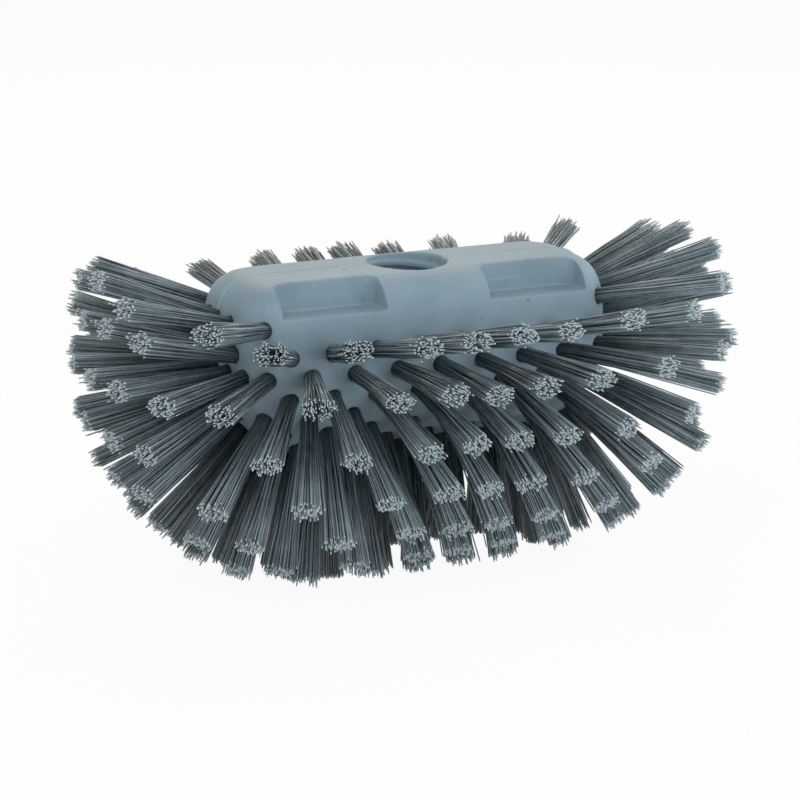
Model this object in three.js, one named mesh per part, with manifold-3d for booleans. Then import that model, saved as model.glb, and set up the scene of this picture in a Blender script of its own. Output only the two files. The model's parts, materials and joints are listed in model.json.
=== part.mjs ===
// Brush head for scrubbing tanks and vats, in millimetres, +Z up, standing on its lowest bristles.
// A moulded plastic block carries bristle tufts on its sides, ends and underside.
// A handle screws into the socket in its top. Tufts sit in rows round the block and are held by wire staples.
import * as THREE from 'three';
import { mergeVertices } from 'three/addons/utils/BufferGeometryUtils.js';
import Module from 'manifold-3d';

// Clearance between pieces that touch on the real brush
const GAP = 0.3;

// Block: half sizes at its widest level, and heights of the ridge and the keel from that level
const BLOCK_HALF_LENGTH = 63;
const BLOCK_HALF_WIDTH = 24;
const BLOCK_RISE = 27.6;
const BLOCK_DROP = 28.2;
const RIDGE_HALF_LENGTH = 40;
const KEEL_HALF_LENGTH = 33;
const PLAN_CORNER_R = 15;
// A power of 2 is an ellipse, and a higher one is closer to a box
const CROWN_POWER = 4;
const KEEL_POWER = 2;

// Handle socket in the ridge
const SOCKET_R = 12.2;
const SOCKET_DEPTH = 28;
const SOCKET_LEAD = 0.6;

// Finger notches in the shoulders: two on each long side
const NOTCH_NEAR_X = 17.1;
const NOTCH_FAR_X = 50.3;
const NOTCH_FLOOR_RISE = 18.2;
const NOTCH_BACK_Y = 12.5;
const NOTCH_CORNER_R = 3;

// Tufts: rows of bristles round the block, each row tilted further down than the one above it
const TUFT_LENGTH = 39;
const TUFT_ROOT_DEPTH = 1.5;
const TUFT_PITCH = 14;
const SIDE_END_MARGIN = 14;
// Round the ends the tufts sit closer and turn from square to the side to square to the end
const TUFT_END_PITCH = 8;
const END_SPAN = 20;
const COLUMN_SPACE = 7;
const FAN_START = 14;
const FAN_POWER = 1.65;
const ROW_COUNT = 8;
const TOP_ROW_TILT = 15;
const ROW_STEP = 13.7;
// A short extra row over each end, above the full rows, tilted most at the middle of the end
const END_ROW_RISE = 15.5;
const END_ROW_TILT = 20;
const END_ROW_CORNER = 22.5;

// Two strands stand for the filaments of a tuft
const STRAND_R = 1.3;
const STRAND_ROOT_OFFSET = 1.2;
const STRAND_TIP_OFFSET = 2.7;
const STRAND_SIDES = 3;
// Depth of the flat that the lowest strands stand on
const FLOOR_CUT = 0.5;

// Slice of the block that the tufts of one bank are set in
const SLICE_THICKNESS = 5;
const SLICE_MARGIN = 4;

// Wire staples at the feet of the two upper rows of the long sides
const STAPLE_ROWS = 2;
const STAPLE_SPAN = 4.6;
const STAPLE_LEG = 3.2;
const STAPLE_WIRE = 0.9;
const STAPLE_COVER = 1;

// Steps of the curved surfaces
const ARC_STEPS = 5;
const CROWN_ANGLES = [80, 68, 57, 45, 30];
const KEEL_ANGLES = [15, 30, 45, 60, 72, 82];
const SOCKET_SIDES = 24;
// Reach of the cutting boxes past the block
const PAST = 100;

const wasm = await Module();
wasm.setup();

// Closed solid of a geometry, with its shared vertices merged
function solidOf(geometry) {
  const bare = geometry.clone();
  bare.deleteAttribute('normal');
  bare.deleteAttribute('uv');
  const merged = mergeVertices(bare, 1e-4);
  return new wasm.Manifold(new wasm.Mesh({
    numProp: 3,
    vertProperties: new Float32Array(merged.attributes.position.array),
    triVerts: new Uint32Array(merged.index.array),
  }));
}

function geometryOf(solid) {
  const mesh = solid.getMesh();
  const geometry = new THREE.BufferGeometry();
  geometry.setAttribute('position', new THREE.BufferAttribute(mesh.vertProperties, 3));
  geometry.setIndex(new THREE.BufferAttribute(mesh.triVerts, 1));
  geometry.computeVertexNormals();
  return geometry;
}

// Box between two corners
function boxBetween(low, high) {
  const size = new THREE.Vector3().subVectors(high, low);
  const middle = new THREE.Vector3().addVectors(low, high).multiplyScalar(0.5);
  const geometry = new THREE.BoxGeometry(size.x, size.y, size.z);
  return solidOf(geometry.translate(middle.x, middle.y, middle.z));
}

// Turn a geometry so that its Z lies along an axis and its X is level, and move it to a point
function place(geometry, point, axis) {
  const level = new THREE.Vector3(0, 0, 1).cross(axis).normalize();
  const across = new THREE.Vector3().crossVectors(axis, level);
  const matrix = new THREE.Matrix4().makeBasis(level, across, axis);
  return geometry.applyMatrix4(matrix.setPosition(point));
}

const radians = THREE.MathUtils.degToRad;

// Level section of the block at a height from its widest level, drawn in by an inset
function sectionAt(height, inset) {
  const above = height >= 0;
  const reach = above ? BLOCK_RISE : BLOCK_DROP - inset;
  const power = above ? CROWN_POWER : KEEL_POWER;
  const straight = above ? RIDGE_HALF_LENGTH : KEEL_HALF_LENGTH;
  const share = (1 - (Math.abs(height) / reach) ** power) ** (1 / power);
  return {
    height,
    halfLength: straight + (BLOCK_HALF_LENGTH - inset - straight) * share,
    halfWidth: (BLOCK_HALF_WIDTH - inset) * share,
    cornerR: (PLAN_CORNER_R - inset) * share,
  };
}

// Rounded rectangle of a section, anticlockwise seen from above
function outlineOf(section) {
  const points = [];
  for (let corner = 0; corner < 4; corner += 1) {
    const sideX = corner === 0 || corner === 1 ? 1 : -1;
    const sideY = corner === 1 || corner === 2 ? 1 : -1;
    for (let step = 0; step <= ARC_STEPS; step += 1) {
      const angle = (corner - 1 + step / ARC_STEPS) * Math.PI / 2;
      const x = sideX * (section.halfLength - section.cornerR) + section.cornerR * Math.cos(angle);
      const y = sideY * (section.halfWidth - section.cornerR) + section.cornerR * Math.sin(angle);
      points.push(new THREE.Vector3(x, y, section.height));
    }
  }
  return points;
}

// Whole block, or its core when drawn in, lofted through level sections from the keel to the ridge
function loftBlock(inset) {
  const drop = BLOCK_DROP - inset;
  const keelHeights = KEEL_ANGLES.map((angle) => -drop * Math.sin(radians(angle)));
  const crownHeights = CROWN_ANGLES.map((angle) => BLOCK_RISE * Math.sin(radians(angle)) ** (2 / CROWN_POWER));
  const heights = [...keelHeights.reverse(), 0, ...crownHeights.reverse()];
  const rings = heights.map((height) => outlineOf(sectionAt(height, inset)));
  const around = rings[0].length;
  const last = (rings.length - 1) * around;
  const index = [];
  for (let level = 0; level + 1 < rings.length; level += 1) {
    for (let i = 0; i < around; i += 1) {
      const a = level * around + i;
      const b = level * around + (i + 1) % around;
      index.push(a, b, b + around, a, b + around, a + around);
    }
  }
  for (let i = 1; i + 1 < around; i += 1) {
    index.push(0, i + 1, i, last, last + i, last + i + 1);
  }
  const geometry = new THREE.BufferGeometry().setFromPoints(rings.flat());
  geometry.setIndex(index);
  return solidOf(geometry);
}

// Length of a section's rim from the middle of its long side to the middle of its end
function quarterRim(section) {
  const { halfLength, halfWidth, cornerR } = section;
  return halfLength - cornerR + cornerR * Math.PI / 2 + halfWidth - cornerR;
}

// Point on the rim, in the quarter with X over 0 and Y under 0
function rimPoint(section, distance) {
  const { height, halfLength, halfWidth, cornerR } = section;
  const flat = halfLength - cornerR;
  const turn = cornerR * Math.PI / 2;
  if (distance <= flat) {
    return new THREE.Vector3(distance, -halfWidth, height);
  }
  if (distance <= flat + turn) {
    const angle = (distance - flat) / cornerR;
    const x = flat + cornerR * Math.sin(angle);
    return new THREE.Vector3(x, cornerR - halfWidth - cornerR * Math.cos(angle), height);
  }
  return new THREE.Vector3(halfLength, cornerR - halfWidth + distance - flat - turn, height);
}

// Angle of a tuft from square to the side, by its distance along a quarter of the rim
function fanAt(distance, full) {
  return Math.PI / 2 * Math.max(0, (distance - FAN_START) / (full - FAN_START)) ** FAN_POWER;
}

const sideEnd = BLOCK_HALF_LENGTH - SIDE_END_MARGIN;

// Tufts of a row in one quarter: at the side pitch along the long side, then back from the middle of the end
function quarterTufts(section, tilt, staggered) {
  const full = quarterRim(section);
  const middleOfCorner = section.halfLength - section.cornerR * (1 - Math.PI / 4);
  const columns = [];
  for (let distance = staggered ? TUFT_PITCH / 2 : 0; distance <= middleOfCorner; distance += TUFT_PITCH) {
    columns.push({ distance, onSide: distance <= sideEnd, middleOfEnd: false });
  }
  const firstFree = columns.at(-1).distance + COLUMN_SPACE;
  // The rows that end under the long sides have no tuft on the middle line
  const hasMiddle = !staggered && section.halfLength > sideEnd + TUFT_END_PITCH / 2;
  let fromMiddle = hasMiddle ? 0 : TUFT_END_PITCH / 2;
  while (fromMiddle < END_SPAN && full - fromMiddle >= firstFree) {
    columns.push({ distance: full - fromMiddle, onSide: false, middleOfEnd: fromMiddle === 0 });
    fromMiddle += TUFT_END_PITCH;
  }
  return columns.map((column) => ({ ...column, tilt, fan: fanAt(column.distance, full) }));
}

// The short row has tufts at the corners, at the middle of the end and beside the middle
function endRowTufts(section) {
  const full = quarterRim(section);
  return [END_ROW_CORNER, TUFT_END_PITCH, 0].map((fromMiddle) => {
    const fan = fanAt(full - fromMiddle, full);
    const tilt = radians(END_ROW_TILT) * fan / (Math.PI / 2);
    return { distance: full - fromMiddle, onSide: false, middleOfEnd: fromMiddle === 0, tilt, fan };
  });
}

// Root, direction and place of every tuft, with the quarter mirrored to the other three
function layOutTufts() {
  const endSection = sectionAt(END_ROW_RISE, 0);
  const rows = [{ number: 0, section: endSection, columns: endRowTufts(endSection) }];
  for (let number = 1; number <= ROW_COUNT; number += 1) {
    const tilt = radians(TOP_ROW_TILT - ROW_STEP * (number - 1));
    const section = sectionAt(BLOCK_DROP * Math.sin(tilt), 0);
    rows.push({ number, section, columns: quarterTufts(section, tilt, number % 2 === 1) });
  }
  const tufts = [];
  for (const { number, section, columns } of rows) {
    for (const { distance, onSide, middleOfEnd, tilt, fan } of columns) {
      const root = rimPoint(section, distance);
      for (const sideX of distance > 0 ? [1, -1] : [1]) {
        for (const sideY of middleOfEnd ? [1] : [1, -1]) {
          const mirror = new THREE.Vector3(sideX, sideY, 1);
          const level = Math.cos(tilt);
          const out = new THREE.Vector3(level * Math.sin(fan), -level * Math.cos(fan), Math.sin(tilt));
          tufts.push({ row: number, onSide, root: root.clone().multiply(mirror), out: out.multiply(mirror) });
        }
      }
    }
  }
  return tufts;
}

// The strands of a tuft lean apart, so the tuft is wider at its tips than at its root
function strandsOf(tuft) {
  const level = new THREE.Vector3(0, 0, 1).cross(tuft.out).normalize();
  const strands = [];
  for (const side of [-1, 1]) {
    const foot = tuft.root.clone().addScaledVector(level, side * STRAND_ROOT_OFFSET);
    const tip = tuft.root.clone().addScaledVector(tuft.out, TUFT_LENGTH);
    tip.addScaledVector(level, side * STRAND_TIP_OFFSET);
    const axis = tip.clone().sub(foot).normalize();
    foot.addScaledVector(axis, -TUFT_ROOT_DEPTH);
    const corners = [];
    for (let corner = 0; corner < STRAND_SIDES; corner += 1) {
      const angle = 2 * Math.PI * corner / STRAND_SIDES;
      corners.push(new THREE.Vector2(STRAND_R * Math.cos(angle), STRAND_R * Math.sin(angle)));
    }
    const depth = foot.distanceTo(tip);
    const strand = new THREE.ExtrudeGeometry(new THREE.Shape(corners), { depth, bevelEnabled: false });
    strands.push(place(strand, foot, axis));
  }
  return strands;
}

// Blind round socket with a tapered lead at its mouth
function socketCut() {
  const shaft = new THREE.CylinderGeometry(SOCKET_R, SOCKET_R, SOCKET_DEPTH + SOCKET_LEAD, SOCKET_SIDES);
  shaft.rotateX(Math.PI / 2).translate(0, 0, BLOCK_RISE - (SOCKET_DEPTH - SOCKET_LEAD) / 2);
  const lead = new THREE.CylinderGeometry(SOCKET_R + 2 * SOCKET_LEAD, SOCKET_R, 2 * SOCKET_LEAD, SOCKET_SIDES);
  lead.rotateX(Math.PI / 2).translate(0, 0, BLOCK_RISE);
  return solidOf(shaft).add(solidOf(lead));
}

// Cut of one finger notch: flat floor, upright back and two rounded inner corners
function notchCut(sideX, sideY) {
  const half = (NOTCH_FAR_X - NOTCH_NEAR_X) / 2;
  const mouth = BLOCK_HALF_WIDTH + NOTCH_CORNER_R;
  const shape = new THREE.Shape();
  shape.moveTo(-half, -mouth);
  shape.lineTo(half, -mouth);
  shape.lineTo(half, -NOTCH_BACK_Y - NOTCH_CORNER_R);
  shape.absarc(half - NOTCH_CORNER_R, -NOTCH_BACK_Y - NOTCH_CORNER_R, NOTCH_CORNER_R, 0, Math.PI / 2);
  shape.lineTo(NOTCH_CORNER_R - half, -NOTCH_BACK_Y);
  shape.absarc(NOTCH_CORNER_R - half, -NOTCH_BACK_Y - NOTCH_CORNER_R, NOTCH_CORNER_R, Math.PI / 2, Math.PI);
  const cut = new THREE.ExtrudeGeometry(shape, { depth: BLOCK_RISE, bevelEnabled: false, curveSegments: 4 });
  cut.rotateZ(sideY > 0 ? Math.PI : 0);
  return solidOf(cut.translate(sideX * (NOTCH_NEAR_X + half), 0, NOTCH_FLOOR_RISE));
}

// Wire staple with its two legs pointing into the block
function stapleShape() {
  const half = STAPLE_SPAN / 2;
  const shape = new THREE.Shape([
    new THREE.Vector2(-half, -STAPLE_LEG),
    new THREE.Vector2(STAPLE_WIRE - half, -STAPLE_LEG),
    new THREE.Vector2(STAPLE_WIRE - half, -STAPLE_WIRE),
    new THREE.Vector2(half - STAPLE_WIRE, -STAPLE_WIRE),
    new THREE.Vector2(half - STAPLE_WIRE, -STAPLE_LEG),
    new THREE.Vector2(half, -STAPLE_LEG),
    new THREE.Vector2(half, 0),
    new THREE.Vector2(-half, 0),
  ]);
  const staple = new THREE.ExtrudeGeometry(shape, { depth: STAPLE_WIRE, bevelEnabled: false });
  return staple.translate(0, 0, -STAPLE_WIRE / 2).rotateX(Math.PI / 2);
}

// Recess in the core that a staple is driven into, open towards its tuft
function stapleCut() {
  const width = STAPLE_SPAN + 2 * GAP;
  const height = STAPLE_WIRE + 2 * GAP;
  const depth = STAPLE_LEG + GAP + SLICE_THICKNESS;
  const cut = new THREE.BoxGeometry(width, height, depth);
  return cut.translate(0, 0, SLICE_THICKNESS - depth / 2);
}

const tufts = layOutTufts();
const strandEnvelope = STRAND_ROOT_OFFSET + STRAND_R;

// Banks: the long sides lie between two upright planes, and the ends lie past them
const sideRootX = tufts.filter((tuft) => tuft.onSide).map((tuft) => Math.abs(tuft.root.x));
const bankX = Math.max(...sideRootX) + strandEnvelope + GAP;
const sideTop = BLOCK_DROP * Math.sin(radians(TOP_ROW_TILT)) + SLICE_MARGIN;
const endTop = END_ROW_RISE + SLICE_MARGIN;
const corner = (x, y, z) => new THREE.Vector3(x, y, z);
const bankBoxes = {
  front: [corner(-bankX, -PAST, -PAST), corner(bankX, -GAP / 2, sideTop)],
  back: [corner(-bankX, GAP / 2, -PAST), corner(bankX, PAST, sideTop)],
  left: [corner(-PAST, -PAST, -PAST), corner(-bankX - GAP, PAST, endTop)],
  right: [corner(bankX + GAP, -PAST, -PAST), corner(PAST, PAST, endTop)],
};

function bankOf(tuft) {
  if (Math.abs(tuft.root.x) > bankX) {
    return tuft.root.x > 0 ? 'right' : 'left';
  }
  return tuft.root.y > 0 ? 'back' : 'front';
}

// Materials, with colours from the photograph
const blockPlastic = new THREE.MeshStandardMaterial({ color: 0x7f9199, roughness: 0.48, metalness: 0 });
const filament = new THREE.MeshStandardMaterial({ color: 0x4a5559, roughness: 0.55, metalness: 0 });
const wire = new THREE.MeshStandardMaterial({ color: 0xb4b6b8, roughness: 0.35, metalness: 1 });

const brush = new THREE.Group();
const addPiece = (name, geometry, material) => {
  const mesh = new THREE.Mesh(geometry, material);
  mesh.name = name;
  brush.add(mesh);
};

const whole = loftBlock(0);

// Block: the shell behind the tufts comes away as slices, and the core stays
const sideZone = boxBetween(corner(-PAST, -PAST, -PAST), corner(PAST, PAST, sideTop + GAP));
const rightZone = boxBetween(corner(bankX, -PAST, -PAST), corner(PAST, PAST, endTop + GAP));
const leftZone = boxBetween(corner(-PAST, -PAST, -PAST), corner(-bankX, PAST, endTop + GAP));
const core = loftBlock(SLICE_THICKNESS + GAP);
let block = whole.subtract(sideZone.add(rightZone).add(leftZone).subtract(core)).subtract(socketCut());
for (const sideX of [-1, 1]) {
  for (const sideY of [-1, 1]) {
    block = block.subtract(notchCut(sideX, sideY));
  }
}

// Staples of the upper rows of the long sides, each driven square to the side in its own recess
const stapleDepth = SLICE_THICKNESS + GAP + STAPLE_COVER;
const stapled = tufts.filter((tuft) => tuft.onSide && tuft.row >= 1 && tuft.row <= STAPLE_ROWS);
for (const bank of ['front', 'back']) {
  stapled.filter((tuft) => bankOf(tuft) === bank).forEach((tuft, order) => {
    const seat = tuft.root.clone().addScaledVector(tuft.out, -stapleDepth / Math.abs(tuft.out.y));
    const drive = new THREE.Vector3(0, tuft.out.y, tuft.out.z).normalize();
    block = block.subtract(solidOf(place(stapleCut(), seat, drive)));
    addPiece(`staple_${bank}_${order + 1}`, place(stapleShape(), seat, drive), wire);
  });
}
addPiece('block', geometryOf(block), blockPlastic);

// Bristle banks: strands fused to their slice, with the lowest ones cut flat to stand on
const strandSets = tufts.map((tuft) => ({ bank: bankOf(tuft), strands: strandsOf(tuft) }));
let lowest = 0;
for (const { strands } of strandSets) {
  for (const strand of strands) {
    strand.computeBoundingBox();
    lowest = Math.min(lowest, strand.boundingBox.min.z);
  }
}
const floor = lowest + FLOOR_CUT;
const belowFloor = boxBetween(corner(-2 * PAST, -2 * PAST, -2 * PAST), corner(2 * PAST, 2 * PAST, floor));
const shell = whole.subtract(loftBlock(SLICE_THICKNESS));
for (const [bank, [low, high]] of Object.entries(bankBoxes)) {
  let bristles = shell.intersect(boxBetween(low, high));
  for (const set of strandSets.filter((entry) => entry.bank === bank)) {
    for (const strand of set.strands) {
      bristles = bristles.add(solidOf(strand));
    }
  }
  addPiece(`bristles_${bank}`, geometryOf(bristles.subtract(belowFloor)), filament);
}

// The brush stands on the level that its lowest strands are cut to
brush.position.z = -floor;

export default brush;
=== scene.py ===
import json
import math

import bmesh
import bpy
from mathutils import Matrix, Vector
from mathutils.noise import noise as perlin


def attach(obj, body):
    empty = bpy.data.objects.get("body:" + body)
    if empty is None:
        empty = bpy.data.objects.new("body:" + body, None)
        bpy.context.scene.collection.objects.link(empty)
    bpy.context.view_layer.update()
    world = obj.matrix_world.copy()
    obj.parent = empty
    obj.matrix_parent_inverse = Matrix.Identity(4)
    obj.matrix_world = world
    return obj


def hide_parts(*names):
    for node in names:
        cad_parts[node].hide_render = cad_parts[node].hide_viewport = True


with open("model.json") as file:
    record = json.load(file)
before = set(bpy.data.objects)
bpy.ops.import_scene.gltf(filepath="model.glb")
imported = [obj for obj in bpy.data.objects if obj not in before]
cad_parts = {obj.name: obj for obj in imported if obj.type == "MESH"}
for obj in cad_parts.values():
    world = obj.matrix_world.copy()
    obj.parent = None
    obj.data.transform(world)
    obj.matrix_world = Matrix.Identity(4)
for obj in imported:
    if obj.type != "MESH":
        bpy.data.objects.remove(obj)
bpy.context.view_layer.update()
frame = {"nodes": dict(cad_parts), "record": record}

# Camera: a long lens in front of the brush, set to its left and looking a little down on it.
# It aims a little under the middle of the block, so that the brush sits in the middle of the picture.
BLOCK_RISE = 0.0276
SOCKET_DEPTH = 0.028
CAMERA_AZIMUTH = math.radians(-26.283)
CAMERA_ELEVATION = math.radians(14.2445)
CAMERA_ROLL = math.radians(0.5748)
CAMERA_DISTANCE = 0.79124
LENS = 116.26
AIM_LEFT = 0.0016
AIM_DROP = 0.016

mounts = {mount["name"]: Vector(mount["pos_m"]) for mount in frame["record"]["mounts"]}
AXIS_HEIGHT = mounts["socket_floor"].z + SOCKET_DEPTH - BLOCK_RISE
block_middle = Vector((0, 0, AXIS_HEIGHT))

towards_camera = Vector((
    math.sin(CAMERA_AZIMUTH) * math.cos(CAMERA_ELEVATION),
    -math.cos(CAMERA_AZIMUTH) * math.cos(CAMERA_ELEVATION),
    math.sin(CAMERA_ELEVATION),
))
level_right = Vector((math.cos(CAMERA_AZIMUTH), math.sin(CAMERA_AZIMUTH), 0))
picture_up = towards_camera.cross(level_right)
camera_place = block_middle + CAMERA_DISTANCE * towards_camera
aim = block_middle - AIM_LEFT * level_right - AIM_DROP * picture_up

camera = bpy.data.objects.new("camera", bpy.data.cameras.new("camera"))
camera.data.lens = LENS
camera.matrix_world = (
    Matrix.Translation(camera_place)
    @ (aim - camera_place).to_track_quat("-Z", "Y").to_matrix().to_4x4()
    @ Matrix.Rotation(CAMERA_ROLL, 4, "Z")
)
bpy.context.collection.objects.link(camera)
bpy.context.scene.camera = camera
bpy.context.scene.view_settings.view_transform = "Standard"

# Studio: a white floor that runs out of the picture, under an even pale sky.
# The camera sees the floor as white paper, and it still takes the shadow of the brush.


class Link:
    """A socket of a node tree. Sums on links add Math nodes, or Vector Math nodes for vectors."""

    def __init__(self, socket):
        self.socket = socket
        self.tree = socket.id_data

    @classmethod
    def make(cls, tree, kind, settings, values, output=None):
        """Adds a node, sets it up, fills its sockets by name or place, and gives one output."""
        node = tree.nodes.new(kind)
        for name, value in settings.items():
            setattr(node, name, value)
        for key, value in values.items():
            by_name = [socket for socket in node.inputs if socket.name == key and socket.enabled]
            socket = node.inputs[key] if isinstance(key, int) else by_name[0]
            if isinstance(value, Link):
                tree.links.new(value.socket, socket)
            else:
                socket.default_value = value
        shown = [socket for socket in node.outputs if socket.enabled]
        named = [socket for socket in shown if output in (None, socket.name)]
        return cls(named[0]) if named else None

    def combine(self, operation, first, second):
        """One node of maths on two terms, of which at least one is a link."""
        terms = (first, second)
        vectors = [
            isinstance(term, (tuple, Vector)) or isinstance(term, Link) and term.socket.type == "VECTOR"
            for term in terms
        ]
        if not any(vectors):
            settings = {"operation": operation}
            return Link.make(self.tree, "ShaderNodeMath", settings, {0: first, 1: second})
        if operation == "MULTIPLY" and not all(vectors):
            vector, scale = terms if vectors[0] else terms[::-1]
            values = {"Vector": vector, "Scale": scale}
            return Link.make(self.tree, "ShaderNodeVectorMath", {"operation": "SCALE"}, values)
        settings = {"operation": operation}
        return Link.make(self.tree, "ShaderNodeVectorMath", settings, {0: first, 1: second})

    def maths(self, operation, second=0.0):
        return self.combine(operation, self, second)

    def vector(self, operation, second=(0, 0, 0)):
        values = {0: self, 1: second}
        return Link.make(self.tree, "ShaderNodeVectorMath", {"operation": operation}, values)

    def __add__(self, other):
        return self.combine("ADD", self, other)

    def __sub__(self, other):
        return self.combine("SUBTRACT", self, other)

    def __rsub__(self, other):
        return self.combine("SUBTRACT", other, self)

    def __mul__(self, other):
        return self.combine("MULTIPLY", self, other)

    def __truediv__(self, other):
        return self.combine("DIVIDE", self, other)

    __radd__ = __add__
    __rmul__ = __mul__


def new_material(name):
    material = bpy.data.materials.new(name)
    material.use_nodes = True
    material.node_tree.nodes.clear()
    return material


def seen_directly(tree):
    """1 for rays that reach the camera straight, mirrored or bent, and 0 for rays that light a surface."""
    path = "ShaderNodeLightPath"
    camera_ray = Link.make(tree, path, {}, {}, "Is Camera Ray")
    glossy_ray = Link.make(tree, path, {}, {}, "Is Glossy Ray")
    bent_ray = Link.make(tree, path, {}, {}, "Is Transmission Ray")
    return camera_ray.maths("MAXIMUM", glossy_ray).maths("MAXIMUM", bent_ray)


WHITE = (1, 1, 1, 1)
SKY_LEVEL = 0.28
FLOOR_COLOUR = (0.88, 0.88, 0.88, 1)
FLOOR_GLOW = 0.94
FLOOR_HALF = 6

world = bpy.data.worlds.new("studio")
world.use_nodes = True
world.node_tree.nodes.clear()
sky = Link.make(world.node_tree, "ShaderNodeBackground", {}, {"Color": WHITE, "Strength": SKY_LEVEL})
paper = Link.make(world.node_tree, "ShaderNodeBackground", {}, {"Color": WHITE, "Strength": 1.0})
seen = seen_directly(world.node_tree)
surface = Link.make(world.node_tree, "ShaderNodeMixShader", {}, {0: seen, 1: sky, 2: paper})
Link.make(world.node_tree, "ShaderNodeOutputWorld", {}, {"Surface": surface})
bpy.context.scene.world = world

floor_paper = new_material("floor_paper")
tree = floor_paper.node_tree
lit = Link.make(tree, "ShaderNodeBsdfDiffuse", {}, {"Color": FLOOR_COLOUR})
glow = Link.make(tree, "ShaderNodeEmission", {}, {"Color": WHITE, "Strength": 1.0})
share = seen_directly(tree) * FLOOR_GLOW
surface = Link.make(tree, "ShaderNodeMixShader", {}, {0: share, 1: lit, 2: glow})
Link.make(tree, "ShaderNodeOutputMaterial", {}, {"Surface": surface})

floor_mesh = bpy.data.meshes.new("floor")
floor_corners = [(-1, -1, 0), (1, -1, 0), (1, 1, 0), (-1, 1, 0)]
floor_mesh.from_pydata([FLOOR_HALF * Vector(corner) for corner in floor_corners], [], [(0, 1, 2, 3)])
floor_mesh.materials.append(floor_paper)
floor = bpy.data.objects.new("floor", floor_mesh)
bpy.context.collection.objects.link(floor)

# Lamps: a warm soft box over and behind the brush, a broad cool one in front of it, a small one high
# on the left and one at each side. Each one faces the middle of the block.
LAMPS = {
    "soft_box_over": {"place": (0.35, 0.95, 0.85), "size": 0.6, "watts": 5, "colour": (1.0, 0.84, 0.62)},
    "soft_box_front": {"place": (0.30, -1.3, 0.10), "size": 1.1, "watts": 13.5, "colour": (0.82, 0.94, 1.0)},
    "soft_box_high": {"place": (-0.45, -0.35, 0.9), "size": 0.5, "watts": 3, "colour": (0.90, 0.96, 1.0)},
    "soft_box_left": {"place": (-1.1, 0.1, 0.45), "size": 0.8, "watts": 3, "colour": (0.90, 0.96, 1.0)},
    "soft_box_right": {"place": (1.1, 0.1, 0.45), "size": 0.8, "watts": 5, "colour": (0.92, 0.97, 1.0)},
}
for name, lamp in LAMPS.items():
    light = bpy.data.lights.new(name, "AREA")
    light.energy = lamp["watts"]
    light.color = lamp["colour"]
    light.size = lamp["size"]
    lamp_object = bpy.data.objects.new(name, light)
    lamp_object.location = block_middle + Vector(lamp["place"])
    lamp_object.rotation_mode = "QUATERNION"
    lamp_object.rotation_quaternion = (-Vector(lamp["place"])).to_track_quat("-Z", "Y")
    bpy.context.collection.objects.link(lamp_object)

# Block: one piece of grey blue polypropylene, moulded in two halves that meet on a seam along the ridge.
# It has a threaded socket for the handle, four finger notches in its shoulders, and a drilled hole
# for each tuft.
BLOCK_HALF_LENGTH = 0.063
BLOCK_HALF_WIDTH = 0.024
BLOCK_DROP = 0.0282
RIDGE_HALF_LENGTH = 0.040
KEEL_HALF_LENGTH = 0.033
PLAN_CORNER_R = 0.015
END_DRAFT = 0.12
CROWN_POWER = 4
KEEL_POWER = 2
LEVEL_STEPS = 24
CORNER_STEPS = 12


def section_at(height):
    """Half length, half width and corner radius of the block at a height from its widest level."""
    above = height >= 0
    reach = BLOCK_RISE if above else BLOCK_DROP
    power = CROWN_POWER if above else KEEL_POWER
    straight = RIDGE_HALF_LENGTH if above else KEEL_HALF_LENGTH
    share = (1 - (abs(height) / reach) ** power) ** (1 / power)
    half_length = straight + (BLOCK_HALF_LENGTH - straight) * share
    return half_length, BLOCK_HALF_WIDTH * share, PLAN_CORNER_R * share


def rim_at(height):
    """Rounded rectangle of the block at a height, anticlockwise, its ends drafted from the seam."""
    half_length, half_width, corner_r = section_at(height)
    corner_x = half_length - corner_r - END_DRAFT * (half_width - corner_r)
    points = []
    for side_x, side_y, first in ((1, -1, -90), (1, 1, 0), (-1, 1, 90), (-1, -1, 180)):
        for step in range(CORNER_STEPS + 1):
            angle = math.radians(first + 90 * step / CORNER_STEPS)
            x = side_x * corner_x + corner_r * math.cos(angle)
            y = side_y * (half_width - corner_r) + corner_r * math.sin(angle)
            points.append(Vector((x, y, AXIS_HEIGHT + height)))
        if side_x != side_y:
            points.append(Vector((side_x * half_length, 0, AXIS_HEIGHT + height)))
    return points


def loft(name, rings):
    """Closed mesh through rings of points, from the first ring to the last."""
    shape = bmesh.new()
    loops = [[shape.verts.new(point) for point in ring] for ring in rings]
    for lower, upper in zip(loops, loops[1:]):
        for i in range(len(lower)):
            shape.faces.new((lower[i - 1], lower[i], upper[i], upper[i - 1]))
    shape.faces.new(loops[0][::-1])
    shape.faces.new(loops[-1])
    bmesh.ops.recalc_face_normals(shape, faces=shape.faces)
    mesh = bpy.data.meshes.new(name)
    shape.to_mesh(mesh)
    shape.free()
    piece = bpy.data.objects.new(name, mesh)
    bpy.context.collection.objects.link(piece)
    return piece


def made_plain(piece):
    """Puts the evaluated mesh of a piece in place of its mesh and modifiers."""
    evaluated = piece.evaluated_get(bpy.context.evaluated_depsgraph_get())
    mesh = bpy.data.meshes.new_from_object(evaluated)
    piece.modifiers.clear()
    piece.data = mesh
    return piece


level_angles = [math.radians(90 * step / LEVEL_STEPS) for step in range(LEVEL_STEPS)]
keel_levels = [-BLOCK_DROP * math.sin(angle) for angle in level_angles]
crown_levels = [BLOCK_RISE * math.sin(angle) ** (2 / CROWN_POWER) for angle in level_angles[1:]]
block = loft("block_moulding", [rim_at(height) for height in keel_levels[::-1] + crown_levels])

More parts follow.
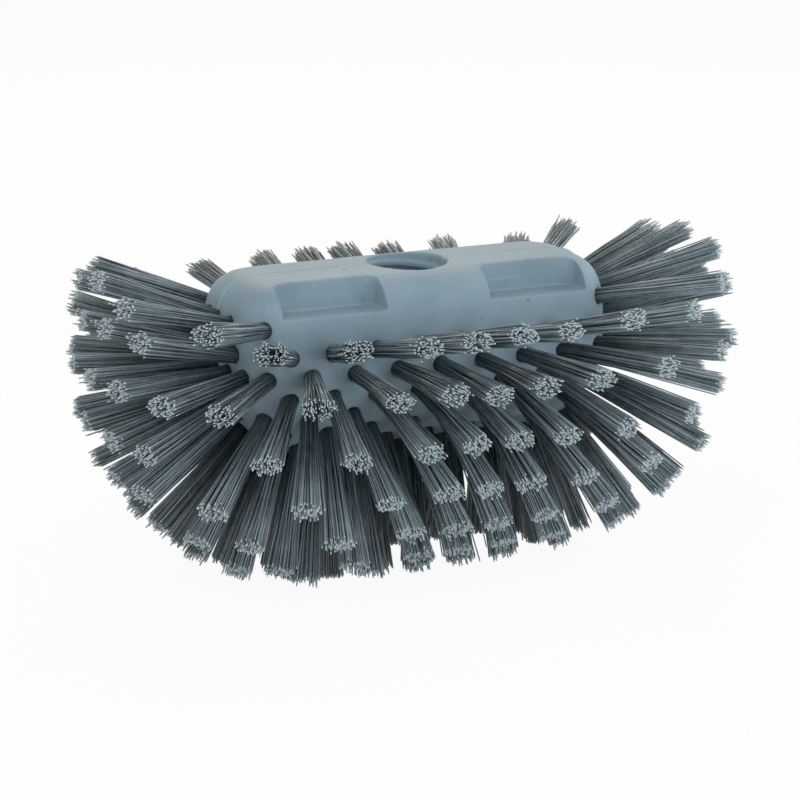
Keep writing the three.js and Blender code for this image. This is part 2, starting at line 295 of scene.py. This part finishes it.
# Tufts of the block: eight rows round it, each tilted further down than the one above, and a short row
# over each end. Every second row is staggered by half a pitch. This section is the drilling plan.
TUFT_PITCH = 0.014
TUFT_END_PITCH = 0.008
END_SPAN = 0.020
COLUMN_SPACE = 0.007
SIDE_END = 0.049
FAN_START = 0.014
FAN_POWER = 1.65
ROW_COUNT = 8
TOP_ROW_TILT = math.radians(15)
ROW_STEP = math.radians(13.7)
END_ROW_RISE = 0.0155
END_ROW_TILT = math.radians(20)
END_ROW_CORNER = 0.0225
HAIR = 0.0001
SQUARE = math.pi / 2


def quarter_rim(section):
    half_length, half_width, corner_r = section
    return half_length - corner_r + corner_r * SQUARE + half_width - corner_r


def rim_point(section, distance):
    """Point on the rim, by its distance from the middle of the front side towards the right end."""
    half_length, half_width, corner_r = section
    flat = half_length - corner_r
    turn = corner_r * SQUARE
    if distance <= flat:
        return distance, -half_width
    if distance <= flat + turn:
        angle = (distance - flat) / corner_r
        return flat + corner_r * math.sin(angle), corner_r - half_width - corner_r * math.cos(angle)
    return half_length, corner_r - half_width + distance - flat - turn


def row_distances(section, staggered):
    """Distances of a row's tufts along a quarter of the rim, on the side and back from the end's middle."""
    half_length, _, corner_r = section
    full = quarter_rim(section)
    distances = [TUFT_PITCH / 2 if staggered else 0]
    while distances[-1] + TUFT_PITCH <= half_length - corner_r * (1 - SQUARE / 2):
        distances.append(distances[-1] + TUFT_PITCH)
    first_free = distances[-1] + COLUMN_SPACE
    has_middle = not staggered and half_length > SIDE_END + TUFT_END_PITCH / 2
    from_middle = 0 if has_middle else TUFT_END_PITCH / 2
    while from_middle < END_SPAN and full - from_middle >= first_free:
        distances.append(full - from_middle)
        from_middle += TUFT_END_PITCH
    return distances


def fan_at(distance, full):
    """Angle of a tuft from square to the side, by its distance along a quarter of the rim."""
    return SQUARE * max(0, (distance - FAN_START) / (full - FAN_START)) ** FAN_POWER


def lay_out_tufts():
    """Root and direction of every tuft, with a quarter of each row mirrored to the other three."""
    end_full = quarter_rim(section_at(END_ROW_RISE))
    places = []
    for from_middle in (END_ROW_CORNER, TUFT_END_PITCH, 0):
        tilt = END_ROW_TILT * fan_at(end_full - from_middle, end_full) / SQUARE
        places.append((END_ROW_RISE, tilt, end_full - from_middle))
    for row in range(ROW_COUNT):
        tilt = TOP_ROW_TILT - ROW_STEP * row
        height = BLOCK_DROP * math.sin(tilt)
        distances = row_distances(section_at(height), staggered=row % 2 == 0)
        places += [(height, tilt, distance) for distance in distances]
    tufts = []
    for height, tilt, distance in places:
        section = section_at(height)
        x, y = rim_point(section, distance)
        fan = fan_at(distance, quarter_rim(section))
        out = Vector((math.cos(tilt) * math.sin(fan), -math.cos(tilt) * math.cos(fan), math.sin(tilt)))
        for side_x in (1, -1) if distance > 0 else (1,):
            for side_y in (1, -1) if abs(y) > HAIR else (1,):
                mirror = Vector((side_x, side_y, 1))
                root = Vector((x, y, AXIS_HEIGHT + height))
                tufts.append((root * mirror, out * mirror))
    return tufts


def tuft_points(name, tufts):
    """Mesh of bare points at the tufts' roots, with their directions and numbers as attributes."""
    mesh = bpy.data.meshes.new(name)
    mesh.from_pydata([root for root, out in tufts], [], [])
    mesh.attributes.new("out", "FLOAT_VECTOR", "POINT")
    mesh.attributes.new("tuft", "INT", "POINT")
    for i, (root, out) in enumerate(tufts):
        mesh.attributes["out"].data[i].vector = out
        mesh.attributes["tuft"].data[i].value = i
    points = bpy.data.objects.new(name, mesh)
    bpy.context.collection.objects.link(points)
    return points


def new_geometry_tree(name, inputs):
    """Geometry tree with named inputs, given as {name: socket type}, and their links by name."""
    tree = bpy.data.node_groups.new(name, "GeometryNodeTree")
    for socket_name, socket_type in {"Geometry": "NodeSocketGeometry", **inputs}.items():
        tree.interface.new_socket(socket_name, in_out="INPUT", socket_type=socket_type)
    tree.interface.new_socket("Geometry", in_out="OUTPUT", socket_type="NodeSocketGeometry")
    first = Link.make(tree, "NodeGroupInput", {}, {})
    return tree, {socket.name: Link(socket) for socket in first.socket.node.outputs if socket.name}


def run_tree(piece, tree, values):
    """Runs a geometry tree on a piece with its inputs set, and leaves the plain mesh."""
    modifier = piece.modifiers.new(tree.name, "NODES")
    modifier.node_group = tree
    sockets = [item for item in tree.interface.items_tree if item.in_out == "INPUT"]
    identifiers = {socket.name: socket.identifier for socket in sockets}
    for name, value in values.items():
        modifier[identifiers[name]] = value
    return made_plain(piece)


def named_attribute(tree, name, data_type):
    return Link.make(tree, "GeometryNodeInputNamedAttribute", {"data_type": data_type}, {"Name": name})


def turned_along(tree, axis):
    """Turn that lays an instance's Z along an axis."""
    settings = {"axis": "Z"}
    return Link.make(tree, "FunctionNodeAlignRotationToVector", settings, {"Vector": axis})


tufts = lay_out_tufts()

# Holes of the tufts: blind holes in the block, one to a tuft. Each is drilled along its tuft's
# direction, about as wide as the bundle of filaments that it holds.
HOLE_R = 0.00245
HOLE_DEPTH = 0.004
HOLE_SIDES = 14

block_plastic = new_material("block_plastic")

tree, inputs = new_geometry_tree("drill", {"Radius": "NodeSocketFloat", "Depth": "NodeSocketFloat"})
drill_values = {"Vertices": HOLE_SIDES, "Radius": inputs["Radius"], "Depth": inputs["Depth"] * 2}
drill = Link.make(tree, "GeometryNodeMeshCylinder", {"fill_type": "NGON"}, drill_values, "Mesh")
turn = turned_along(tree, named_attribute(tree, "out", "FLOAT_VECTOR"))
drill_points = {"Points": inputs["Geometry"], "Instance": drill, "Rotation": turn}
drills = Link.make(tree, "GeometryNodeInstanceOnPoints", {}, drill_points)
drills = Link.make(tree, "GeometryNodeRealizeInstances", {}, {"Geometry": drills})
drills = Link.make(tree, "GeometryNodeSetMaterial", {}, {"Geometry": drills, "Material": block_plastic})
Link.make(tree, "NodeGroupOutput", {}, {"Geometry": drills})
hole_cuts = run_tree(tuft_points("hole_cuts", tufts), tree, {"Radius": HOLE_R, "Depth": HOLE_DEPTH})

# Socket: a blind round hole in the ridge, for the threaded end of a handle.
# It is moulded with the block, and has a short lead at its mouth.
SOCKET_R = 0.0122
SOCKET_LEAD = 0.0006
SOCKET_SIDES = 72
socket_top = AXIS_HEIGHT + BLOCK_RISE
socket_floor = socket_top - SOCKET_DEPTH


def circle(radius, height, sides):
    angles = [2 * math.pi * side / sides for side in range(sides)]
    return [Vector((radius * math.cos(angle), radius * math.sin(angle), height)) for angle in angles]


socket_cut = loft("socket_cut", [
    circle(SOCKET_R, socket_floor, SOCKET_SIDES),
    circle(SOCKET_R, socket_top - SOCKET_LEAD, SOCKET_SIDES),
    circle(SOCKET_R + 2 * SOCKET_LEAD, socket_top + SOCKET_LEAD, SOCKET_SIDES),
])

# Finger notches: four open pockets in the shoulders, to grip the block by. Each is moulded with
# the block, and has a flat floor, an upright back and round inner corners.
NOTCH_NEAR_X = 0.0171
NOTCH_FAR_X = 0.0503
NOTCH_FLOOR_RISE = 0.0182
NOTCH_BACK_Y = 0.0125
NOTCH_CORNER_R = 0.003
NOTCH_MOUTH_Y = 0.03


def notch_outline(side_x, side_y, height):
    far_middle = NOTCH_FAR_X - NOTCH_CORNER_R
    near_middle = NOTCH_NEAR_X + NOTCH_CORNER_R
    corner_y = NOTCH_BACK_Y + NOTCH_CORNER_R
    points = [(NOTCH_NEAR_X, NOTCH_MOUTH_Y), (NOTCH_FAR_X, NOTCH_MOUTH_Y)]
    for middle, first in ((far_middle, 0), (near_middle, 90)):
        for step in range(CORNER_STEPS + 1):
            angle = math.radians(first + 90 * step / CORNER_STEPS)
            x = middle + NOTCH_CORNER_R * math.cos(angle)
            points.append((x, corner_y - NOTCH_CORNER_R * math.sin(angle)))
    return [Vector((side_x * x, side_y * y, AXIS_HEIGHT + height)) for x, y in points]


cutters = [hole_cuts, socket_cut]
for side_x in (1, -1):
    for side_y in (1, -1):
        heights = (NOTCH_FLOOR_RISE, BLOCK_RISE + SOCKET_LEAD)
        cutters.append(loft("notch_cut", [notch_outline(side_x, side_y, height) for height in heights]))
for cutter in cutters:
    cut = block.modifiers.new(cutter.name, "BOOLEAN")
    cut.object = cutter
    cut.operation = "DIFFERENCE"
    cut.solver = "EXACT"
made_plain(block)
for cutter in cutters:
    bpy.data.objects.remove(cutter)

# Thread of the socket: a blunt rib that winds down the wall and fades out at both ends.
# It is the block's own plastic, moulded in one with it.
THREAD_PITCH = 0.005
THREAD_HEIGHT = 0.0011
THREAD_CREST = 0.0007
THREAD_FOOT = 0.0016
THREAD_SINK = 0.0008
THREAD_START = 0.0022
THREAD_FROM = 0.5
THREAD_TURNS = 4.5
THREAD_STEPS = 48
THREAD_FADE = 0.25

thread_rings = []
for step in range(int(THREAD_TURNS * THREAD_STEPS) + 1):
    turns = step / THREAD_STEPS
    fade = min(1, turns / THREAD_FADE, (THREAD_TURNS - turns) / THREAD_FADE)
    height = socket_top - THREAD_START - THREAD_PITCH * turns
    crest_r = SOCKET_R - THREAD_HEIGHT * fade
    wall_r = SOCKET_R + THREAD_SINK
    profile = [
        (wall_r, -THREAD_FOOT),
        (crest_r, -THREAD_CREST),
        (crest_r, THREAD_CREST),
        (wall_r, THREAD_FOOT),
    ]
    angle = 2 * math.pi * (THREAD_FROM + turns)
    thread_rings.append([
        Vector((r * math.cos(angle), -r * math.sin(angle), height + rise)) for r, rise in profile
    ])
thread = loft("socket_thread", thread_rings)

# Moulding of the block: the cuts and the thread become one skin of plastic.
# Its edges are rounded as a mould leaves them.
SKIN_VOXEL = 0.00034
SKIN_SMOOTHING = 0.4
SKIN_SMOOTHING_ROUNDS = 2
SKIN_TRIANGLES = 185000


def join(piece, other):
    """Adds the mesh of another object to a piece, and removes that object."""
    joined = bmesh.new()
    joined.from_mesh(piece.data)
    joined.from_mesh(other.data)
    joined.to_mesh(piece.data)
    joined.free()
    bpy.data.objects.remove(other)


join(block, thread)

remesh = block.modifiers.new("skin", "REMESH")
remesh.mode = "VOXEL"
remesh.voxel_size = SKIN_VOXEL
remesh.use_smooth_shade = True
smooth = block.modifiers.new("round_edges", "SMOOTH")
smooth.factor = SKIN_SMOOTHING
smooth.iterations = SKIN_SMOOTHING_ROUNDS
made_plain(block)
thin = block.modifiers.new("thin", "DECIMATE")
thin.ratio = min(1, SKIN_TRIANGLES / (2 * len(block.data.polygons)))
made_plain(block)

# Seam: the line of flash where the halves of the mould met, over the ridge and down both ends.
# It is the block's own plastic, a low round rib of uneven height that stands proud of the skin.
SEAM_HEIGHT = 0.00026
SEAM_HALF = 0.00034
SEAM_SINK = 0.0006
SEAM_WAVES = 260
RIDGE_STEPS = 24

ridge_start = section_at(crown_levels[-1])[0]
ridge_stop = SOCKET_R + 2 * SOCKET_LEAD
seam_path = [(section_at(height)[0], height) for height in [0] + crown_levels]
for step in range(1, RIDGE_STEPS + 1):
    along = ridge_start + (ridge_stop - ridge_start) * step / RIDGE_STEPS
    seam_path.append((along, crown_levels[-1]))
for side_x in (1, -1):
    seam_rings = []
    for i, (x, height) in enumerate(seam_path):
        before = Vector(seam_path[max(i - 1, 0)])
        after = Vector(seam_path[min(i + 1, len(seam_path) - 1)])
        rise = (after - before).normalized()
        outward = Vector((side_x * rise.y, 0, -rise.x))
        middle = Vector((side_x * x, 0, AXIS_HEIGHT + height))
        crest = SEAM_HEIGHT * (0.8 + 0.5 * perlin(middle * SEAM_WAVES))
        foot = [(-1, -SEAM_SINK), (-1, 0)]
        top = [(-0.5, 0.8 * crest), (0, crest), (0.5, 0.8 * crest)]
        profile = foot + top + [(1, 0), (1, -SEAM_SINK)]
        seam_rings.append([
            middle + Vector((0, SEAM_HALF * y, 0)) + outward * proud for y, proud in profile
        ])
    join(block, loft("seam", seam_rings))
block.data.shade_smooth()
block.data.materials.clear()
block.data.materials.append(block_plastic)

# Surface of the block: matt plastic with a fine grain, clouded by use, with flow lines down its sides
# and a few pale scuffs on the ridge and on the backs of the notches. A pale band along the seam is a painted
# highlight.
BLOCK_COLOUR = (0.240, 0.318, 0.368, 1)
BLOCK_PALE = (0.278, 0.360, 0.412, 1)
# The scuff colour is also the colour of the painted highlight along the seam.
SCUFF_AND_HIGHLIGHT_COLOUR = (0.42, 0.47, 0.50, 1)
STAIN_COLOUR = (0.060, 0.085, 0.105, 1)
SCUFF_OUTER_Y = 0.0155
SCUFF_INNER_Y = 0.0135
CLOUD_SCALE = 60.0
GRAIN_SCALE = 1400.0
SPECK_SCALE = 420.0
STAIN_SCALE = 330.0
SCUFF_SCALE = 90.0
FLOW_STRETCH = (700, 700, 25)
SCRATCH_STRETCH = (60, 60, 1500)


def noise(tree, place, scale, detail):
    values = {"Vector": place, "Scale": scale, "Detail": detail}
    return Link.make(tree, "ShaderNodeTexNoise", {}, values, "Fac")


def ramp(tree, value, low, high):
    """0 under the low value, 1 over the high one, and even between them."""
    values = {"Value": value, "From Min": low, "From Max": high}
    return Link.make(tree, "ShaderNodeMapRange", {"clamp": True}, values)


def blend(tree, share, first, second):
    values = {"Factor": share, "A": first, "B": second}
    return Link.make(tree, "ShaderNodeMix", {"data_type": "RGBA"}, values)


def stretched(tree, place, scale):
    return Link.make(tree, "ShaderNodeMapping", {}, {"Vector": place, "Scale": scale})


def split(tree, vector):
    """The X, Y and Z of a vector link."""
    first = Link.make(tree, "ShaderNodeSeparateXYZ", {}, {0: vector})
    return [Link(socket) for socket in first.socket.node.outputs]


tree = block_plastic.node_tree
place = Link.make(tree, "ShaderNodeTexCoord", {}, {}, "Object")
cloud = noise(tree, place, CLOUD_SCALE, 3.0)
grain = noise(tree, place, GRAIN_SCALE, 2.0)
from_seam = split(tree, place)[1].maths("ABSOLUTE")
inward = ramp(tree, from_seam, SCUFF_OUTER_Y, SCUFF_INNER_Y)
flow_field = noise(tree, stretched(tree, place, FLOW_STRETCH), 1.0, 2.0)
flow = ramp(tree, flow_field, 0.56, 0.7) * (1 - inward)
scratch_field = noise(tree, stretched(tree, place, SCRATCH_STRETCH), 1.0, 2.0)
scuffed = ramp(tree, noise(tree, place, SCUFF_SCALE, 1.0), 0.48, 0.6) * inward
scratch = ramp(tree, scratch_field, 0.62, 0.7) * scuffed
speck = ramp(tree, noise(tree, place, SPECK_SCALE, 1.0), 0.74, 0.8)
stain = ramp(tree, noise(tree, place, STAIN_SCALE, 0.0), 0.19, 0.15)
colour = blend(tree, ramp(tree, cloud, 0.35, 0.65), BLOCK_COLOUR, BLOCK_PALE)
pale = (scratch * 0.45 + speck * 0.3 + flow * 0.06).maths("MINIMUM", 1.0)
colour = blend(tree, pale, colour, SCUFF_AND_HIGHLIGHT_COLOUR)
colour = blend(tree, stain * 0.6, colour, STAIN_COLOUR)
# Painted highlight: a pale band along the block's middle plane, where the seam runs, for the light that its
# crest catches.
seam_painted_highlight = ramp(tree, from_seam, 1.6 * SEAM_HALF, 0.6 * SEAM_HALF)
colour = blend(tree, seam_painted_highlight * 0.7, colour, SCUFF_AND_HIGHLIGHT_COLOUR)
rough = 0.42 + cloud * 0.12 + scratch * 0.15 + flow * 0.05
relief = grain * 0.4 + cloud + scratch * 0.6 + flow * 0.25
bump_values = {"Height": relief, "Strength": 0.35, "Distance": 0.0003}
normal = Link.make(tree, "ShaderNodeBump", {}, bump_values)
plastic_values = {
    "Base Color": colour,
    "Roughness": rough,
    "Normal": normal,
    "IOR": 1.49,
    "Specular IOR Level": 0.15,
}
plastic = Link.make(tree, "ShaderNodeBsdfPrincipled", {}, plastic_values)
Link.make(tree, "ShaderNodeOutputMaterial", {}, {"Surface": plastic})

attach(block, "root")
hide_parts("block")

# Bristles: tufts of stiff slate grey polyester filament, each folded over a staple in its hole
# and cut to length, so a tuft splits into two halves and its cut tips show pale.
TUFT_LENGTH = 0.039
TUFT_SINK = 0.003
FILAMENT_COUNT = 110
FILAMENT_R = 0.00022
FILAMENT_SIDES = 5
FILAMENT_STEPS = 2
TUFT_ROOT_R = 0.0023
TUFT_TIP_WIDTH = 0.0043
TUFT_TIP_HEIGHT = 0.0029
HALVES_APART = 0.0007
GOLDEN_TURN = math.pi * (3 - math.sqrt(5))
FILAMENT_JITTER = 0.00016
TIP_STRAY = 0.0011
TUFT_LEAN = 0.0010
LENGTH_SPREAD = 0.0020
FILAMENT_BOW = 0.0004
FLARE_SHARE = 0.2
CUT_SHARE = 0.985
BRISTLE_SEED = 7
SEED_STEP = 10
FILAMENT_DARK = (0.034, 0.048, 0.054, 1)
FILAMENT_PALE = (0.290, 0.360, 0.390, 1)
FILAMENT_CUT = (0.50, 0.56, 0.57, 1)
ROOT_PAINTED_SHADE = 0.3
STREAK_SCALE = 300.0

filament_plastic = new_material("filament_plastic")


def random_vector(tree, number, seed):
    """Vector with each part between -1 and 1, the same for the same number and seed."""
    values = {"Min": (-1, -1, -1), "Max": (1, 1, 1), "ID": number, "Seed": seed}
    return Link.make(tree, "FunctionNodeRandomValue", {"data_type": "FLOAT_VECTOR"}, values)


def cubed(value):
    return value * value * value


def store(tree, geometry, name, data_type, value):
    settings = {"data_type": data_type, "domain": "POINT"}
    values = {"Geometry": geometry, "Name": name, "Value": value}
    return Link.make(tree, "GeometryNodeStoreNamedAttribute", settings, values)


def bristle_tree():
    """Tree that grows a tuft of bent filaments from each point, along the point's direction."""
    sizes = ("Root radius", "Tip width", "Tip height", "Length", "Filament radius")
    tree, inputs = new_geometry_tree("bristles", {
        "Filaments": "NodeSocketInt",
        "Seed": "NodeSocketInt",
        **{size: "NodeSocketFloat" for size in sizes},
    })
    copy_values = {"Geometry": inputs["Geometry"], "Amount": inputs["Filaments"]}
    settings = {"domain": "POINT"}
    copies = Link.make(tree, "GeometryNodeDuplicateElements", settings, copy_values, "Geometry")
    index = Link.make(tree, "GeometryNodeInputIndex", {}, {})
    root = Link.make(tree, "GeometryNodeInputPosition", {}, {})
    out = named_attribute(tree, "out", "FLOAT_VECTOR")
    tuft = named_attribute(tree, "tuft", "INT")
    upright = Link.make(tree, "ShaderNodeCombineXYZ", {}, {"Z": 1.0})
    level = upright.vector("CROSS_PRODUCT", out).vector("NORMALIZE")
    across = out.vector("CROSS_PRODUCT", level)
    stray_level, stray_across, stray_long = split(tree, random_vector(tree, index, inputs["Seed"]))
    bow_level, bow_across, shade = split(tree, random_vector(tree, index, inputs["Seed"] + 1))
    lean_level, lean_across, tuft_turn = split(tree, random_vector(tree, tuft, inputs["Seed"] + 2))
    jitter_level, jitter_across = split(tree, random_vector(tree, index, inputs["Seed"] + 3))[:2]

    number = index.maths("MODULO", inputs["Filaments"])
    ring = ((number + 0.5) / inputs["Filaments"]).maths("SQRT")
    angle = number * GOLDEN_TURN + tuft_turn * math.pi
    side_level = ring * angle.maths("COSINE")
    side_across = ring * angle.maths("SINE")
    half = level * side_level.maths("SIGN") * HALVES_APART * (tuft_turn * tuft_turn)
    jitter = (level * jitter_level + across * jitter_across) * FILAMENT_JITTER
    stray = (level * cubed(stray_level) + across * cubed(stray_across)) * TIP_STRAY
    lean = (level * lean_level + across * lean_across) * TUFT_LEAN
    root_side = (level * side_level + across * side_across) * inputs["Root radius"]
    tip_side = level * side_level * inputs["Tip width"] + across * side_across * inputs["Tip height"]
    foot = root + root_side - out * TUFT_SINK
    reach = inputs["Length"] + cubed(stray_long) * LENGTH_SPREAD
    tip = root + out * reach + tip_side + half + jitter + stray + lean
    tip = tip.vector("MAXIMUM", (-1, -1, 0))
    flare = (root_side - tip_side) * FLARE_SHARE
    bow = (level * bow_level + across * bow_across) * FILAMENT_BOW + flare

    strands = store(tree, copies, "axis", "FLOAT_VECTOR", tip - foot)
    strands = store(tree, strands, "bow", "FLOAT_VECTOR", bow)
    strands = store(tree, strands, "shade", "FLOAT", shade)
    strands = Link.make(tree, "GeometryNodeSetPosition", {}, {"Geometry": strands, "Position": foot})

    rod_values = {
        "Vertices": FILAMENT_SIDES,
        "Side Segments": FILAMENT_STEPS,
        "Radius": inputs["Filament radius"],
        "Depth": 1.0,
    }
    rod = Link.make(tree, "GeometryNodeMeshCylinder", {"fill_type": "NGON"}, rod_values, "Mesh")
    height = split(tree, Link.make(tree, "GeometryNodeInputPosition", {}, {}))[2]
    rod = store(tree, rod, "along", "FLOAT", height + 0.5)
    rod = Link.make(tree, "GeometryNodeSetPosition", {}, {"Geometry": rod, "Offset": (0, 0, 0.5)})

    axis = named_attribute(tree, "axis", "FLOAT_VECTOR")
    reach = Link.make(tree, "ShaderNodeVectorMath", {"operation": "LENGTH"}, {0: axis}, "Value")
    strand_values = {
        "Points": strands,
        "Instance": rod,
        "Rotation": turned_along(tree, axis),
        "Scale": Link.make(tree, "ShaderNodeCombineXYZ", {}, {"X": 1.0, "Y": 1.0, "Z": reach}),
    }
    strands = Link.make(tree, "GeometryNodeInstanceOnPoints", {}, strand_values)
    strands = Link.make(tree, "GeometryNodeRealizeInstances", {}, {"Geometry": strands})
    along = named_attribute(tree, "along", "FLOAT")
    bend = named_attribute(tree, "bow", "FLOAT_VECTOR") * (along * (1 - along) * 4)
    strands = Link.make(tree, "GeometryNodeSetPosition", {}, {"Geometry": strands, "Offset": bend})
    strands = Link.make(tree, "GeometryNodeSetShadeSmooth", {}, {"Geometry": strands})
    values = {"Geometry": strands, "Material": filament_plastic}
    strands = Link.make(tree, "GeometryNodeSetMaterial", {}, values)
    Link.make(tree, "NodeGroupOutput", {}, {"Geometry": strands})
    return tree


tree = filament_plastic.node_tree
shade = Link.make(tree, "ShaderNodeAttribute", {"attribute_name": "shade"}, {}, "Fac")
along = Link.make(tree, "ShaderNodeAttribute", {"attribute_name": "along"}, {}, "Fac")
place = Link.make(tree, "ShaderNodeTexCoord", {}, {}, "Object")
streak = noise(tree, place, STREAK_SCALE, 2.0)
colour = blend(tree, ramp(tree, shade * 0.7 + streak, -0.4, 1.4), FILAMENT_DARK, FILAMENT_PALE)
# Painted shade: each filament darkens towards the dark tone over the first 30 % from its root, for the shade
# deep in the tuft by the block.
colour = blend(tree, ramp(tree, along, 0.3, 0.0) * ROOT_PAINTED_SHADE, colour, FILAMENT_DARK)
colour = blend(tree, ramp(tree, along, CUT_SHARE - 0.002, CUT_SHARE + 0.004), colour, FILAMENT_CUT)
filament_values = {"Base Color": colour, "Roughness": 0.30 + streak * 0.12, "IOR": 1.55}
filament = Link.make(tree, "ShaderNodeBsdfPrincipled", {}, filament_values)
Link.make(tree, "ShaderNodeOutputMaterial", {}, {"Surface": filament})

BANK_MARGIN = 0.0028
BANK_END = SIDE_END + BANK_MARGIN
banks = {"front": [], "back": [], "left": [], "right": []}
for root, out in tufts:
    if abs(root.x) > BANK_END:
        banks["right" if root.x > 0 else "left"].append((root, out))
    else:
        banks["back" if root.y > 0 else "front"].append((root, out))
growing = bristle_tree()
for order, (bank, members) in enumerate(banks.items()):
    bristles = run_tree(tuft_points(f"filaments_{bank}", members), growing, {
        "Filaments": FILAMENT_COUNT,
        "Seed": BRISTLE_SEED + SEED_STEP * order,
        "Root radius": TUFT_ROOT_R,
        "Tip width": TUFT_TIP_WIDTH,
        "Tip height": TUFT_TIP_HEIGHT,
        "Length": TUFT_LENGTH,
        "Filament radius": FILAMENT_R,
    })
    for name in ("axis", "bow", "out", "tuft"):
        attribute = bristles.data.attributes.get(name)
        if attribute:
            bristles.data.attributes.remove(attribute)
    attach(bristles, "root")
    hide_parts(f"bristles_{bank}")

# Staples: bright stainless wire, bent to a U and driven into the bottom of a tuft's hole to hold the
# folded filaments. They are the CAD's own, with the look of drawn wire.
WIRE_COLOUR = (0.55, 0.56, 0.57, 1)
WIRE_DULL = (0.40, 0.40, 0.41, 1)
WIRE_STRETCH = (300, 3000, 3000)

staple_wire = new_material("staple_wire")
tree = staple_wire.node_tree
place = Link.make(tree, "ShaderNodeTexCoord", {}, {}, "Object")
drawn = noise(tree, stretched(tree, place, WIRE_STRETCH), 1.0, 2.0)
colour = blend(tree, ramp(tree, drawn, 0.35, 0.65), WIRE_COLOUR, WIRE_DULL)
wire_values = {"Base Color": colour, "Roughness": 0.25 + drawn * 0.2, "Metallic": 1.0}
wire = Link.make(tree, "ShaderNodeBsdfPrincipled", {}, wire_values)
Link.make(tree, "ShaderNodeOutputMaterial", {}, {"Surface": wire})
for name, node in frame["nodes"].items():
    if name.startswith("staple"):
        for slot in node.material_slots:
            slot.material = staple_wire
